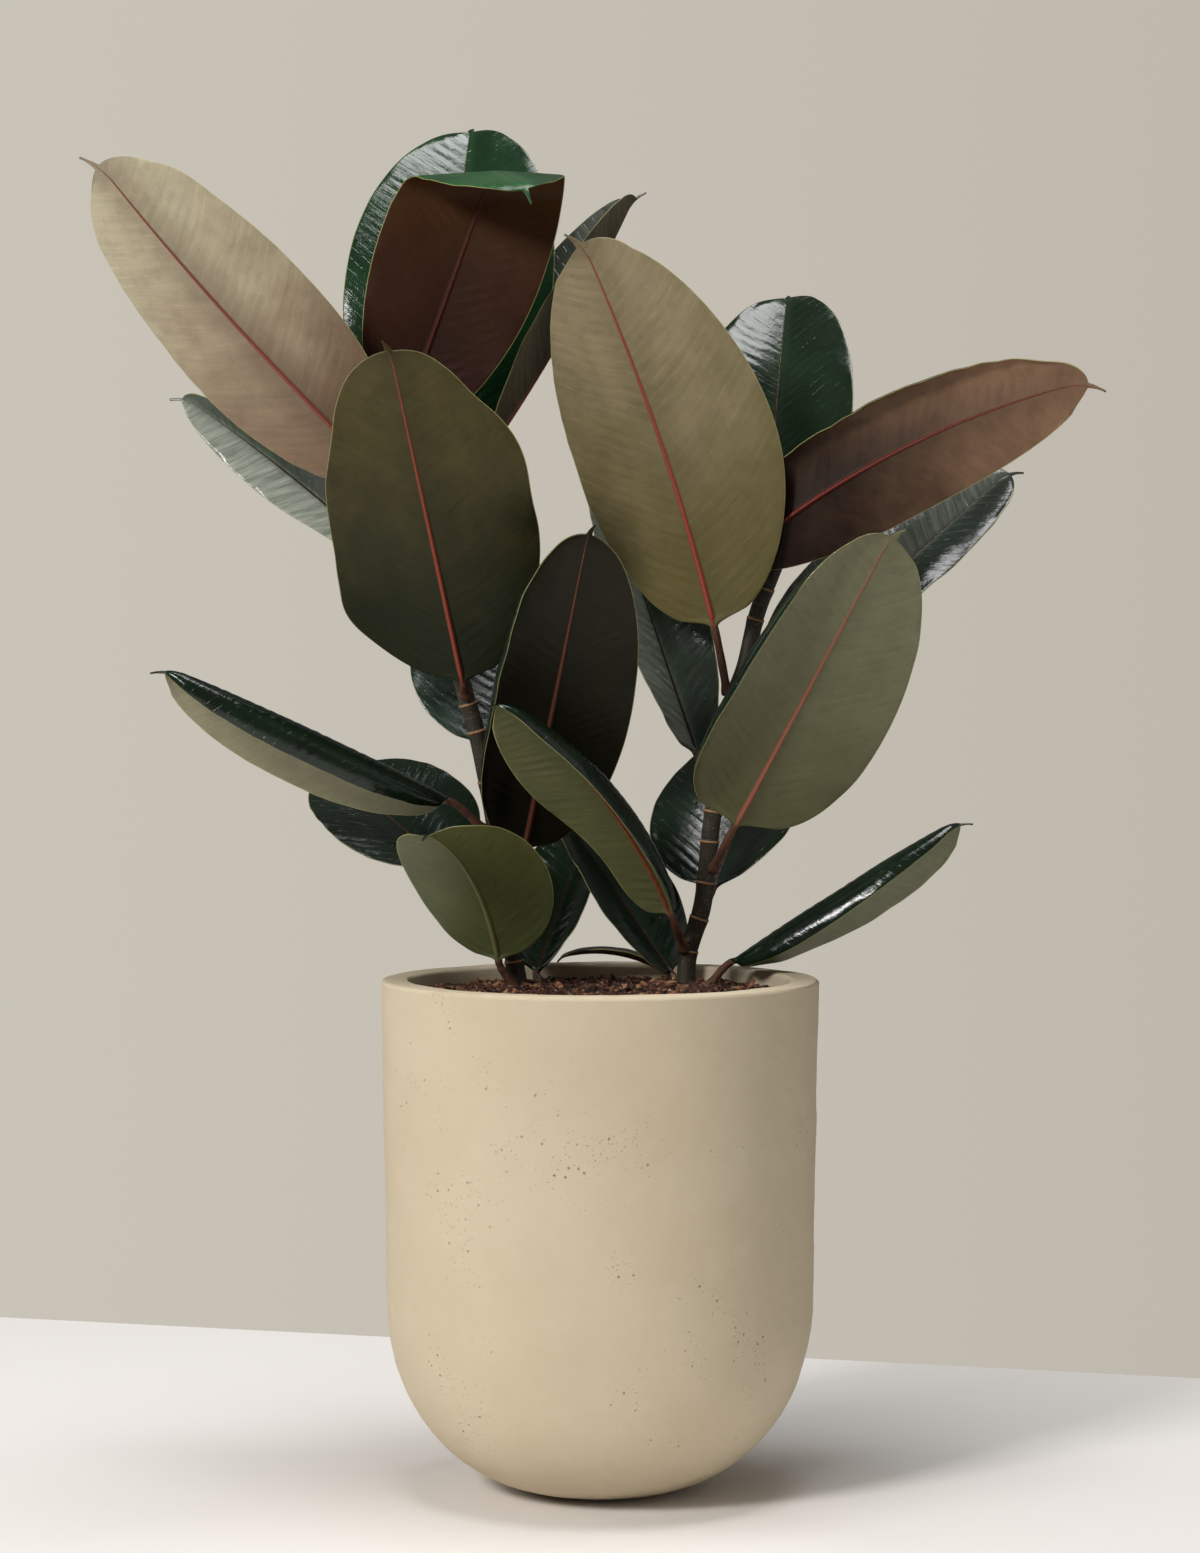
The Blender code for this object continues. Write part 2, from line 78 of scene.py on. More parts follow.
# One line per leaf, in millimetres and degrees.
# on: the stem, or the mix for a leaf that rises from it;
# at: height of the joint above the mix, or the place on the mix;
# petiole: length, azimuth, lift; blade: length, width, azimuth, lift;
# fold, cup, curl and bumps: one value for each half; bend, hook and twist: along the blade;
# nod: bends the blade over to the front, as (from height, to height, degrees).
LEAVES = {
    "01": dict(on="left", at=328, petiole=(50, -153, 34), blade=(296, 116, -165, 47), roll=58,
               fold=(12, 12), bend=8, hook=-30, bumps=([(.86, .10, .08)], [(.86, .10, .08)])),
    "02": dict(on="left", at=336, petiole=(56, -160, 59), blade=(275, 116, 0, 70), roll=-90,
               hook=0, fold=(-4, -4), belly=.50, nod=((159, 195, 107), (237, 255, 62))),
    "03": dict(on="left", at=200, petiole=(22, -100, 40), blade=(262, 145, -112, 62), roll=12,
               fold=(8, 8), wave=5, belly=.47,
               bumps=([(.17, .23, .13), (.72, -.10, .12)], [(.62, .07, .10), (.82, -.10, .08)])),
    "04": dict(on="left", at=318, petiole=(58, 82, 62), blade=(275, 155, 82, 68), roll=-4,
               fold=(12, 12), bend=-30, bumps=([(.12, -.30, .14)], [])),
    "05": dict(on="left", at=325, petiole=(72, 20, 55), blade=(214, 92, 28, 58), roll=0,
               fold=(48, 35), bend=10, bumps=([], [(.12, -.5, .2)])),
    "06": dict(on="left", at=270, petiole=(42, 165, 33), blade=(214, 50, 162, 37), roll=-85,
               fold=(42, 20), bend=-10, bumps=([(.2, -.25, .2)], [(.2, -.25, .2)])),
    "07": dict(on="left", at=105, petiole=(45, -157, 38), blade=(228, 85, -165, 25), roll=45,
               fold=(0, -5), cup=(-20, -165)),
    "08": dict(on="left", at=80, petiole=(36, 168, 6), blade=(160, 112, 130, 25), roll=-22,
               fold=(15, 15)),
    "09": dict(on="mix", at=(-59, 30), petiole=(26, -150, 60), blade=(146, 104, -118, 42),
               roll=12, fold=(14, 9), bend=-60, hook=-50),
    "10": dict(on="right", at=22, petiole=(46, -111, 44), blade=(228, 85, -139, 43), roll=45,
               bend=-36, fold=(5, -10), cup=(-10, -130), bumps=([(.28, -.36, .26)], [])),
    "11": dict(on="left", at=45, petiole=(56, -50, 72), blade=(262, 108, -69, 60), roll=-20,
               fold=(5, 5), curl=(-150, 0)),
    "12": dict(on="left", at=112, petiole=(60, 107, 75), blade=(172, 130, 81, 52), fold=(12, 12)),
    "13": dict(on="right", at=195, petiole=(63, -118, 66), blade=(292, 138, -157, 69), roll=50,
               fold=(10, 10), bend=-12, bumps=([], [(.4, .14, .35)])),
    "14": dict(on="right", at=275, petiole=(34, 80, 45), blade=(234, 125, 80, 61), roll=-8,
               fold=(15, 15), bend=-25),
    "15": dict(on="right", at=292, petiole=(31, -162, 12), blade=(290, 90, -18, 25), roll=-84,
               bend=-28, fold=(5, 5), curl=(-120, 0), belly=.46),
    "16": dict(on="right", at=200, petiole=(46, 50, 15), blade=(258, 105, 24, 39), roll=35,
               fold=(12, 12), bumps=([(.5, -.32, .35)], [])),
    "17": dict(on="right", at=75, petiole=(54, -57, 49), blade=(250, 135, -41, 56), roll=-42,
               fold=(3, 8), curl=(-150, 0), belly=.40),
    "18": dict(on="right", at=50, petiole=(34, 68, 34), blade=(170, 132, 66, 43), roll=-8,
               fold=(15, 15)),
    "19": dict(on="right", at=125, petiole=(42, 138, 69), blade=(253, 85, 146, 68), roll=-40,
               fold=(42, 42)),
    "20": dict(on="mix", at=(76, 58), petiole=(24, 0, 50), blade=(197, 78, -7, 32), roll=-45,
               fold=(-8, 5), cup=(-120, -10), twist=-20),
    "21": dict(on="mix", at=(53, 77), petiole=(10, 120, 60), blade=(158, 84, 168, 55), roll=-26,
               fold=(28, 18)),
    "22": dict(on="mix", at=(-42, 85), petiole=(10, 130, 60), blade=(140, 72, 62, 52),
               fold=(30, 30)),
    "23": dict(on="mix", at=(52, 110), petiole=(10, 170, 60), blade=(82, 32, 180, 6), bend=-50,
               fold=(10, 10)),
}

# ---- how finely the pieces are made ----------------------------------------
POT_COLUMNS, SOIL_COLUMNS, STEM_COLUMNS = 320, 300, 40
SOIL_RINGS = 105
STEM_POINTS = 160           # along a stem's axis
TANGENT_REACH = .004        # to either side, for a stem's direction
LINE_STEPS = 120            # along a blade's midrib
PETIOLE_RINGS = 25
RING_STEP = 1.5             # millimetres between a blade's rings

# ---- view and light --------------------------------------------------------
CAMERA_DISTANCE, CAMERA_HEIGHT, CAMERA_TILT, CAMERA_LENS = 2.6, .564, 1.66, 88
TABLE_EDGE = (-.52, .678), (.475, .395)         # two points on the table top's back edge
TABLE_DEPTH, TABLE_OVERHANG, TABLE_THICKNESS = 2.6, 2.2, .05
TABLE_DROP = .0002                              # how far the table top lies below the planter
WORLD_LIGHT, WORLD_TINT = .12, (1, .97, .93)
LAMPS = {   # place, target, size, power, colour
    "key": ((-2.7, -3.1, 2.9), (0, 0, .5), (1.0, 1.0), 146, (1, .985, .97)),
    "side": ((-3.2, .6, 1.6), (0, 0, .4), (1.2, 1.6), 14, (1, .99, .98)),
    "top": ((.1, -.1, 3.2), (0, 0, .3), (1.6, 1.2), 62, (1, 1, 1)),
    "fill": ((3.0, -1.6, 1.5), (0, 0, .4), (2.4, 2.4), 7, (1, .99, .98)),
}


# ---- the CAD part's own shapes ---------------------------------------------
def direction(azimuth, lift):
    """unit vector from degrees round +Z, from +X, and degrees above level"""
    a, l = np.radians(azimuth), np.radians(lift)
    return np.stack([np.cos(a) * np.cos(l), np.sin(a) * np.cos(l), np.sin(l)], -1)


def unit(v):
    return v / np.linalg.norm(v, axis=-1, keepdims=True)


def smooth_step(x, lo=0.0, hi=1.0):
    x = np.clip((np.asarray(x, float) - lo) / (hi - lo), 0, 1)
    return x * x * (3 - 2 * x)


def pot_radius(z, inset=0.0):
    """radius of the outside wall, or of a wall set in by inset, at height z"""
    lift = POT_FLOOR if inset else 0.0
    foot = POT_FOOT * (.8 if inset else 1)
    shoulder = POT_RADIUS - POT_TAPER - inset
    if z < POT_ROUNDING:
        x = min(1, (POT_ROUNDING - z) / (POT_ROUNDING - lift))
        return foot + (shoulder - foot) * np.sqrt(max(0, 1 - x * x))
    return shoulder + POT_TAPER * (z - POT_ROUNDING) / (POT_HEIGHT - POT_ROUNDING)


def mix_height(x, y):
    """height of the smooth surface of the mix"""
    r = np.hypot(x, y) / (POT_RADIUS - POT_WALL)
    return MIX_LEVEL + SOIL_MOUND * np.maximum(0, 1 - r * r)


def stem_curve(name):
    """smooth curve through the stem's points, metres"""
    p = np.array(STEM_LINES[name], float) / 1000
    p[:, 2] += MIX_LEVEL
    q = np.vstack([2 * p[0] - p[1], p, 2 * p[-1] - p[-2]])
    out = []
    for s in np.linspace(0, len(p) - 1, STEM_POINTS):
        i = min(int(s), len(p) - 2)
        u = s - i
        a, b, c, d = q[i:i + 4]
        out.append(.5 * (2 * b + (c - a) * u + (2 * a - 5 * b + 4 * c - d) * u ** 2
                         + (3 * b - a - 3 * c + d) * u ** 3))
    return np.array(out)


def stem_at(name, height):
    """point on the stem's axis at a height above the mix, and the stem's direction there"""
    line = stem_curve(name)
    z = MIX_LEVEL + height
    behind, point, ahead = (np.array([np.interp(z + dz, line[:, 2], line[:, k]) for k in range(3)])
                            for dz in (-TANGENT_REACH, 0, TANGENT_REACH))
    return point, unit(ahead - behind)


def stem_radius(height, top):
    """radius at a height above the mix, for a stem that ends at top"""
    return STEM_RADIUS * (1.06 - .16 * height / top)


def blade_line(leaf, start):
    """midrib from the blade's base: shares, points, tangents, sideways and upper-face axes"""
    length, _, azimuth, lift = leaf["blade"]
    t = np.linspace(0, 1, LINE_STEPS + 1)
    azimuth = np.full(len(t), float(azimuth))
    lift = lift + leaf.get("bend", 0) * (t - .5)
    lift = lift + leaf.get("hook", -40) * np.clip((t - .9) / .1, 0, 1)
    along = direction(azimuth, lift)
    steps = .5 * (along[1:] + along[:-1]) * LEAF_SCALE * length / 1000 / LINE_STEPS
    points = start + np.vstack([np.zeros(3), np.cumsum(steps, 0)])
    a = np.radians(azimuth)
    side = np.stack([-np.sin(a), np.cos(a), 0 * a], -1)
    face = np.cross(along, side)
    r = np.radians(leaf.get("roll", 0) + leaf.get("twist", 0) * (t - .5))[:, None]
    return t, points, along, side * np.cos(r) + face * np.sin(r), face * np.cos(r) - side * np.sin(r)


def half_width(t, leaf, half):
    """half width of the blade at share t of its length, metres"""
    u = np.clip(t / (1 - DRIP_TIP), 0, 1)
    x = 2 * u ** (np.log(.5) / np.log(leaf.get("belly", WIDEST))) - 1
    body = np.where(x < 0, np.clip(1 - np.abs(x) ** 2, 0, 1) ** .62,
                    np.clip(1 - np.abs(x) ** 2.2, 0, 1) ** .55)
    tail = .055 * np.clip((1 - t) / DRIP_TIP / 1.6, 0, 1) ** .8
    w = np.maximum(body, np.where(t > 1 - 1.6 * DRIP_TIP, tail, 0))
    for at, amount, spread in leaf.get("bumps", ((), ()))[half]:
        w = w * (1 + amount * np.exp(-((t - at) / spread) ** 2))
    return np.maximum(w * LEAF_SCALE * leaf["blade"][1] / 2000, SMALLEST_HALF)


def petiole_start(leaf):
    """the stem's axis at the joint, the joint itself, and the petiole's direction"""
    toward = direction(*leaf["petiole"][1:])
    if leaf["on"] == "mix":
        x, y = leaf["at"][0] / 1000, leaf["at"][1] / 1000
        return np.array([x, y, MIX_LEVEL]), np.array([x, y, mix_height(x, y) + GAP]), toward
    axis, along = stem_at(leaf["on"], leaf["at"] / 1000)
    out = unit(toward - along * np.dot(toward, along))
    top = STEM_LINES[leaf["on"]][-1][2] / 1000
    near = stem_radius(leaf["at"] / 1000, top) + .0005 + GAP
    return axis, axis + toward * near / np.dot(toward, out), toward


def nodded(leaf, place, normal, start):
    """bends a blade over level lines towards the front, by how high above its base each point is"""
    if "nod" not in leaf:
        return place, normal
    rise = np.linspace(-.02, .34, 721)
    turn = np.radians(sum(a * np.clip((rise - lo / 1000) / (hi - lo) * 1000, 0, 1)
                          for lo, hi, a in leaf["nod"]))
    step = rise[1] - rise[0]
    up = rise[0] + np.concatenate([[0], np.cumsum(np.cos(.5 * (turn[1:] + turn[:-1]))) * step])
    out = np.concatenate([[0], np.cumsum(np.sin(.5 * (turn[1:] + turn[:-1]))) * step])
    h, off = place[..., 2] - start[2], start[1] - place[..., 1]
    a = np.interp(h, rise, turn)
    c, s = np.cos(a), np.sin(a)
    forward, high = np.interp(h, rise, out) + off * c, np.interp(h, rise, up) - off * s
    bent = np.stack([place[..., 0], start[1] - forward, start[2] + high], -1)
    n = np.stack([normal[..., 0], normal[..., 1] * c - normal[..., 2] * s,
                  normal[..., 2] * c + normal[..., 1] * s], -1)
    return bent, n


# ---- small tools -----------------------------------------------------------
def waves(x, y, seed, size, count=7):
    """smooth seeded unevenness, roughly from -1 to 1, for points given in millimetres"""
    rng = np.random.default_rng(seed)
    total = 0.0
    for _ in range(count):
        turn, phase = rng.uniform(0, 2 * np.pi, 2)
        k = 2 * np.pi / (size * rng.uniform(.6, 1.7))
        total = total + np.sin(k * (x * np.cos(turn) + y * np.sin(turn)) + phase)
    return total / count ** .5 / 1.3


def mesh_object(name, verts, faces, mat, tags=None, smooth=True):
    """a piece of the object, from arrays; faces may be an array of quads or a list"""
    mesh = bpy.data.meshes.new(name)
    mesh.from_pydata(np.asarray(verts, float).tolist(), [], np.asarray(faces).tolist()
                     if isinstance(faces, np.ndarray) else faces)
    for tag, values in (tags or {}).items():
        layer = mesh.attributes.new(tag, "FLOAT", "POINT")
        layer.data.foreach_set("value", np.asarray(values, np.float32).ravel())
    mesh.polygons.foreach_set("use_smooth", [smooth] * len(mesh.polygons))
    mesh.materials.append(mat)
    mesh.update()
    obj = bpy.data.objects.new(name, mesh)
    bpy.context.scene.collection.objects.link(obj)
    return obj


def grid_faces(rows, columns, closed=True):
    """quads of a lofted skin, rows x columns points; closed joins the last column to the first"""
    i, k = np.meshgrid(np.arange(rows - 1), np.arange(columns if closed else columns - 1),
                       indexing="ij")
    j = (k + 1) % columns
    return np.stack([i * columns + k, (i + 1) * columns + k, (i + 1) * columns + j,
                     i * columns + j], -1).reshape(-1, 4)


def capped(name, rings, mat, tags=None):
    """closed body from an array of rings (rows, columns, 3), facing outwards"""
    rows, columns = rings.shape[:2]
    quads = grid_faces(rows, columns)
    verts = rings.reshape(-1, 3)
    a, b, c, d = (verts[quads[:, n]] for n in range(4))
    volume = (np.einsum("ij,ij->i", a, np.cross(b, c))
              + np.einsum("ij,ij->i", a, np.cross(c, d))).sum()
    first, last = list(range(columns)), [(rows - 1) * columns + n for n in range(columns)]
    faces = quads.tolist() + [first, last[::-1]]
    if volume < 0:
        faces = [f[::-1] for f in faces]
    return mesh_object(name, verts, faces, mat, tags)


def level_ring(r, z, turn):
    """ring of radius r at height z, either one a number or a value per angle in turn"""
    return np.stack([r * np.cos(turn), r * np.sin(turn), 0 * turn + z], -1)


def srgb(r, g, b):
    """linear colour from levels of 0 to 255"""
    c = np.array([r, g, b], float) / 255
    return tuple(np.where(c < .04045, c / 12.92, ((c + .055) / 1.055) ** 2.4))


class Nodes:
    """short hand for building one procedural material"""

    def __init__(self, name):
        self.mat = bpy.data.materials.new(name)
        self.mat.use_nodes = True
        self.tree = self.mat.node_tree
        self.shader = self.tree.nodes["Principled BSDF"]

    def node(self, kind, **settings):
        n = self.tree.nodes.new("ShaderNode" + kind)
        for k, v in settings.items():
            setattr(n, k, v)
        return n

    def put(self, socket, value):
        if isinstance(value, bpy.types.NodeSocket):
            self.tree.links.new(value, socket)
        elif socket.type == "RGBA":
            socket.default_value = (*value, 1)
        else:
            socket.default_value = value

    def set(self, name, value):
        self.put(self.shader.inputs[name], value)

    def math(self, op, a, b=0.0, clamp=False):
        n = self.node("Math", operation=op, use_clamp=clamp)
        self.put(n.inputs[0], a)
        self.put(n.inputs[1], b)
        return n.outputs[0]

    def plus(self, a, b):
        return self.math("ADD", a, b)

    def minus(self, a, b):
        return self.math("SUBTRACT", a, b)

    def times(self, a, b):
        return self.math("MULTIPLY", a, b)

    def size(self, a):
        return self.math("ABSOLUTE", a)

    def tag(self, name):
        return self.node("Attribute", attribute_name=name).outputs["Fac"]

    def place(self):
        return self.node("NewGeometry").outputs["Position"]

    def vector(self, x, y, z):
        n = self.node("CombineXYZ")
        for socket, value in zip(n.inputs, (x, y, z)):
            self.put(socket, value)
        return n.outputs[0]

    def mix(self, share, a, b, mode="MIX"):
        n = self.node("Mix", data_type="RGBA", blend_type=mode)
        self.put(n.inputs[0], share)
        self.put(n.inputs[6], a)
        self.put(n.inputs[7], b)
        return n.outputs[2]

    def noise(self, where, scale, detail, rough=.55):
        n = self.node("TexNoise")
        for key, value in (("Vector", where), ("Scale", scale), ("Detail", detail),
                           ("Roughness", rough)):
            self.put(n.inputs[key], value)
        return n.outputs["Fac"]

    def cells(self, where, scale, out="Distance"):
        n = self.node("TexVoronoi")
        self.put(n.inputs["Vector"], where)
        self.put(n.inputs["Scale"], scale)
        return n.outputs[out]

    def ease(self, x, lo, hi, a=0.0, b=1.0):
        """goes smoothly from a to b while x goes from lo to hi"""
        n = self.node("MapRange", interpolation_type="SMOOTHSTEP")
        for socket, value in zip(n.inputs[:5], (x, lo, hi, a, b)):
            self.put(socket, value)
        return n.outputs[0]

    def scaled(self, where, x, y, z):
        n = self.node("Mapping")
        self.put(n.inputs["Vector"], where)
        n.inputs["Scale"].default_value = (x, y, z)
        return n.outputs[0]

    def bump(self, height, distance, strength):
        n = self.node("Bump")
        n.inputs["Strength"].default_value = strength
        n.inputs["Distance"].default_value = distance
        self.put(n.inputs["Height"], height)
        self.set("Normal", n.outputs[0])


# ---- leaf finish -----------------------------------------------------------
ROUGH_TOP = .15                 # roughness of an upper face
DUST = .12                      # how much its specks show
DUST_COLOUR, PAINTED_SHEEN_COLOUR = (.45, .48, .44), srgb(176, 182, 168)
MARGIN_COLOUR = srgb(168, 166, 104)
PETIOLE_COLOURS = srgb(62, 38, 26), srgb(98, 62, 42), srgb(150, 112, 78)    # dark, light, spots


def shaded(colour, factor, lift=0.0):
    return tuple(min(1, c * factor + lift) for c in colour)


def leaf_finish(name, under, under_tip, top, rib, rib_top, seed, rough_under=.50, vein=.10,
                painted_sheen=0.0, specular=.42, shade=.26, stripe=.08, tip_ramp=(.12, .90)):
    """both faces of a leaf

    under and under_tip are the lower face's colours at base and tip, and the last argument, two
    shares, says where along the blade the one turns into the other; on some leaves the dark base
    is partly painted shade.  vein, stripe (also the painted light and shade between the side
    veins) and shade (beside the midrib) are strengths, and so is the one for the painted sheen:
    pale streaks on one half of the upper face, standing in for a reflection.
    """
    m = Nodes(name)
    u, v, t = m.tag("u"), m.tag("v"), m.tag("t")
    phase, edge, mid = m.tag("phase"), m.tag("edge"), m.tag("mid")
    lower, stalk = m.ease(m.tag("under"), .35, .65), m.tag("stalk")
    where, from_rib = m.vector(u, v, float(seed) * 40.0), m.size(v)
    broad, fine = m.noise(where, .022, 3), m.noise(where, .35, 4, .65)
    blotch = m.noise(where, .075, 4, .6)
    # side veins: a line each time the phase passes a whole number, bent and broken by noise
    bent = m.plus(phase, m.times(m.minus(m.noise(where, .045, 2), .5), .30))
    off = m.size(m.minus(m.math("FRACT", bent), .5))
    veins = m.times(m.ease(off, .455, .49), m.ease(m.noise(where, .10, 3), .40, .70))
    # streaks that run the way the side veins run
    flow = m.vector(bent, m.times(v, .012), float(seed))
    streak, wide_streak = m.noise(flow, 3.0, 4, .66), m.noise(flow, .8, 2)

    # lower face
    # colour ramp from base to tip; on leaves 03 and 15 the dark base is partly painted shade
    along = m.ease(m.plus(t, m.times(m.minus(broad, .5), .5)), *tip_ramp)
    low = m.mix(along, under, under_tip)
    low = m.mix(m.ease(from_rib, 1.5, 24.0, shade, 0), low, shaded(under, .55))
    low = m.mix(m.ease(blotch, .42, .70, 0, .20), low, shaded(under, .62))
    low = m.mix(m.ease(wide_streak, .35, .65, 0, stripe * 1.6), low, (1.45, 1.45, 1.4), "MULTIPLY")
    low = m.mix(m.ease(streak, .45, .75, 0, stripe * 1.6), low, (.62, .60, .58), "MULTIPLY")
    # painted light and shade of the side veins' relief: lighter bands between the veins
    painted_rib_shading = m.times(m.ease(off, .05, .45), m.ease(m.noise(where, .028, 2), .40, .62, .25, 1))
    low = m.mix(m.times(painted_rib_shading, stripe * 1.5), low, (1.4, 1.4, 1.35), "MULTIPLY")
    low = m.mix(m.times(veins, vein * 3.0), low, (1.9, 1.9, 1.7), "MULTIPLY")
    # patches of dark lines, two for each side vein
    lines = m.size(m.minus(m.math("FRACT", m.plus(m.times(bent, 2.0), .30)), .5))
    lines = m.times(m.ease(lines, .455, .49), m.ease(m.noise(where, .06, 3), .46, .62))
    low = m.mix(m.times(lines, vein * 4.5), low, (.55, .54, .50), "MULTIPLY")
    low = m.mix(m.ease(fine, .52, .75, 0, .12), low, shaded(under, .6))

    # upper face
    up = m.mix(m.ease(broad, .35, .7), top, shaded(top, .55))
    up = m.mix(m.times(veins, .20), up, shaded(top, 2.2, .006))
    up = m.mix(m.ease(from_rib, 2.0, 9.0, .30, 0), up, shaded(top, 1.7, .003))
    speck = m.times(m.ease(m.cells(where, .11), .05, .09, 1, 0),
                    m.ease(m.noise(where, .05, 2), .5, .62))
    up = m.mix(m.times(speck, DUST), up, DUST_COLOUR)
    colour = m.mix(lower, up, low)
    # painted sheen: pale streaks on one half of the upper face, standing in for a reflection
    if painted_sheen:
        painted_sheen_mask = m.ease(m.noise(flow, 2.6, 4, .7), .25, .75, painted_sheen * .35, painted_sheen)
        painted_sheen_mask = m.times(painted_sheen_mask, m.ease(v, -6.0, 6.0, .12, 1))
        colour = m.mix(painted_sheen_mask, colour, PAINTED_SHEEN_COLOUR)

    # midrib, margin and petiole
    ending = m.ease(t, .90, .97, 1, 0)
    core = m.times(m.ease(mid, -.35, .45), m.plus(m.times(ending, .7), .3))
    ribs = m.mix(lower, rib_top, m.mix(m.ease(t, .05, .9), rib, shaded(rib, .8)))
    colour = m.mix(core, colour, ribs)
    margin = m.ease(m.plus(edge, m.times(m.minus(fine, .5), .4)), .20, .72, 1, 0)
    margin = m.times(margin, ending)
    colour = m.mix(m.times(margin, m.plus(m.times(lower, .25), .5)), colour, MARGIN_COLOUR)
    dark, light, spots = PETIOLE_COLOURS
    grain = m.noise(m.vector(m.times(u, .12), v, float(seed)), 1.1, 4)
    skin = m.mix(m.ease(grain, .3, .7), dark, light)
    skin = m.mix(m.ease(m.cells(where, .55), .10, .2, .4, 0), skin, spots)
    m.set("Base Color", m.mix(stalk, colour, skin))

    rough = m.plus(m.times(lower, rough_under - ROUGH_TOP), ROUGH_TOP)
    rough = m.plus(rough, m.times(m.minus(blotch, .5), .16))
    rough = m.plus(rough, m.times(speck, .3))
    m.set("Roughness", m.math("ADD", rough, m.times(stalk, .22), clamp=True))
    m.set("Specular IOR Level", specular)

    # fine relief: veins, pores, grain and the ripple of the streaks
    pores = m.times(m.noise(where, 1.6, 3, .6), m.plus(m.times(lower, .28), .05))
    height = m.plus(m.times(veins, m.minus(m.times(lower, 1.3), .9)), pores)
    height = m.plus(height, m.times(fine, m.plus(m.times(lower, .3), .12)))
    height = m.plus(height, m.plus(m.times(m.noise(where, .16, 2), .8), streak))
    m.bump(height, .00030, .8)
    return m.mat


# ---- leaves ----------------------------------------------------------------
# places across a blade, -1 to 1 over the upper face and back over the lower one
HALF = np.concatenate([[0, .008, .016, .024, .034, .046, .062, .085], np.linspace(.12, .93, 22),
                       [.955, .974, .988, .997, 1]])
UPPER = np.concatenate([-HALF[::-1], HALF[1:]])
ACROSS = np.concatenate([UPPER, UPPER[-2:0:-1]])
UNDER = np.concatenate([np.zeros(len(UPPER)), np.ones(len(UPPER) - 2)])     # 1 on the lower face
UNDER[0] = UNDER[len(UPPER) - 1] = .5                                       # and .5 on the margins
TURN = np.where(UNDER > .6, -1, 1) * np.pi / 2 * (1 - ACROSS)               # the same, round a petiole
FOLD_STEPS = 13                 # along each half's curve, from midrib to margin
VEIN_SPACING = 8.6              # millimetres between two side veins
# metres
THICKNESS = .0009               # the CAD blade's is .0011; the relief comes on top of this one
SWELL, PUCKER, VEIN_HEIGHT, RAGGED = .0009, .00026, .00008, .0005
RIB_HEIGHT, GROOVE_DEPTH = .0021, .0004
# how far each half of some blades swells up between midrib and margin, millimetres
PLUMP = {"04": 2.6, "05": 1.5, "08": 2.0, "12": 2.4, "14": 3.0, "16": 2.4, "18": 2.6, "19": 2.2,
         "21": 2.0, "22": 1.5}


def blade_rows(leaf, t, frames, start):
    """points, upper-face normals and distances from the midrib (millimetres) of the blade's middle
    surface, rows t by ACROSS"""
    point, along, side, face = frames
    place = np.zeros((len(t), len(ACROSS), 3))
    normal = np.zeros_like(place)
    distance = np.zeros((len(t), len(ACROSS)))
    for half, sign in ((0, -1), (1, 1)):
        pick = (ACROSS > 0) if half else (ACROSS <= 0)
        q = np.abs(ACROSS[pick])
        w = half_width(t, leaf, half)[:, None]
        steps = q[:, None] * np.linspace(0, 1, FOLD_STEPS)
        roll_off = (leaf.get("curl", (0, 0))[half] * np.sin(np.pi * t) ** .5)[:, None, None]
        angle = np.radians(leaf["fold"][half] + leaf.get("cup", (0, 0))[half] * steps
                           + roll_off * steps ** 4)
        mean = .5 * (angle[..., 1:] + angle[..., :-1])
        out, up = q * np.cos(mean).mean(-1), q * np.sin(mean).mean(-1)
        wave = leaf.get("wave", 0) / 1000 * np.sin(np.pi * t)[:, None] * q * q * np.sin(
            2 * np.pi * (2.5 * t[:, None] + (0, .35)[half]))
        place[:, pick] = (point[:, None] + side[:, None] * (sign * out * w)[..., None]
                          + face[:, None] * (up * w + wave)[..., None])
        a = np.where(q > 0, angle[..., -1], 0)
        normal[:, pick] = (face[:, None] * np.cos(a)[..., None]
                           - side[:, None] * (sign * np.sin(a))[..., None])
        distance[:, pick] = q * w * 1000
    return (*nodded(leaf, place, normal, start), distance)


def blade_relief(number, t, v, across, phase, rib_half, u):
    """how far the skin lies off the blade's middle surface, metres

    u and v are millimetres along the blade and away from the midrib; across is v with its sign.
    """
    seed, q = int(number), np.abs(ACROSS)[None]
    inside = smooth_step(t, 0, .1)[:, None] * smooth_step(1 - t, 0, .12)[:, None]
    swell = SWELL * waves(u, across, seed + 50, 75) * inside * q
    pucker = PUCKER * np.cos(2 * np.pi * phase) * np.sin(np.pi * q ** .8) * inside
    pucker = pucker * (.45 + .6 * waves(u, across, seed + 90, 34)) * (1.35 if number in PLUMP else 1)
    plump = PLUMP.get(number, 0) / 1000 * np.sin(np.pi * q) * np.sin(np.pi * t)[:, None] ** .6
    vein = ((.5 + .5 * np.cos(2 * np.pi * phase)) ** 6 * VEIN_HEIGHT * inside
            * np.clip(4 * (1 - q), 0, 1))
    rib_high = (RIB_HEIGHT * (1 - t) ** .9 + .0001)[:, None]
    ridge = rib_high * np.clip(1 - (v / (rib_half * 1.25)) ** 2, 0, 1)
    groove = GROOVE_DEPTH * (1 - t)[:, None] * np.clip(1 - (v / (rib_half * .7)) ** 2, 0, 1)
    blunt = np.sqrt(np.clip(1 - (np.clip(q - .955, 0, 1) / .045) ** 2, 0, 1))
    thick = THICKNESS * .5 * blunt * (1 + .25 * (1 - q))
    skin = np.where(UNDER[None] > .6, -thick - ridge - vein, thick - groove - vein * .8)
    return (swell + pucker + plump) + np.where(UNDER[None] == .5, 0, skin)


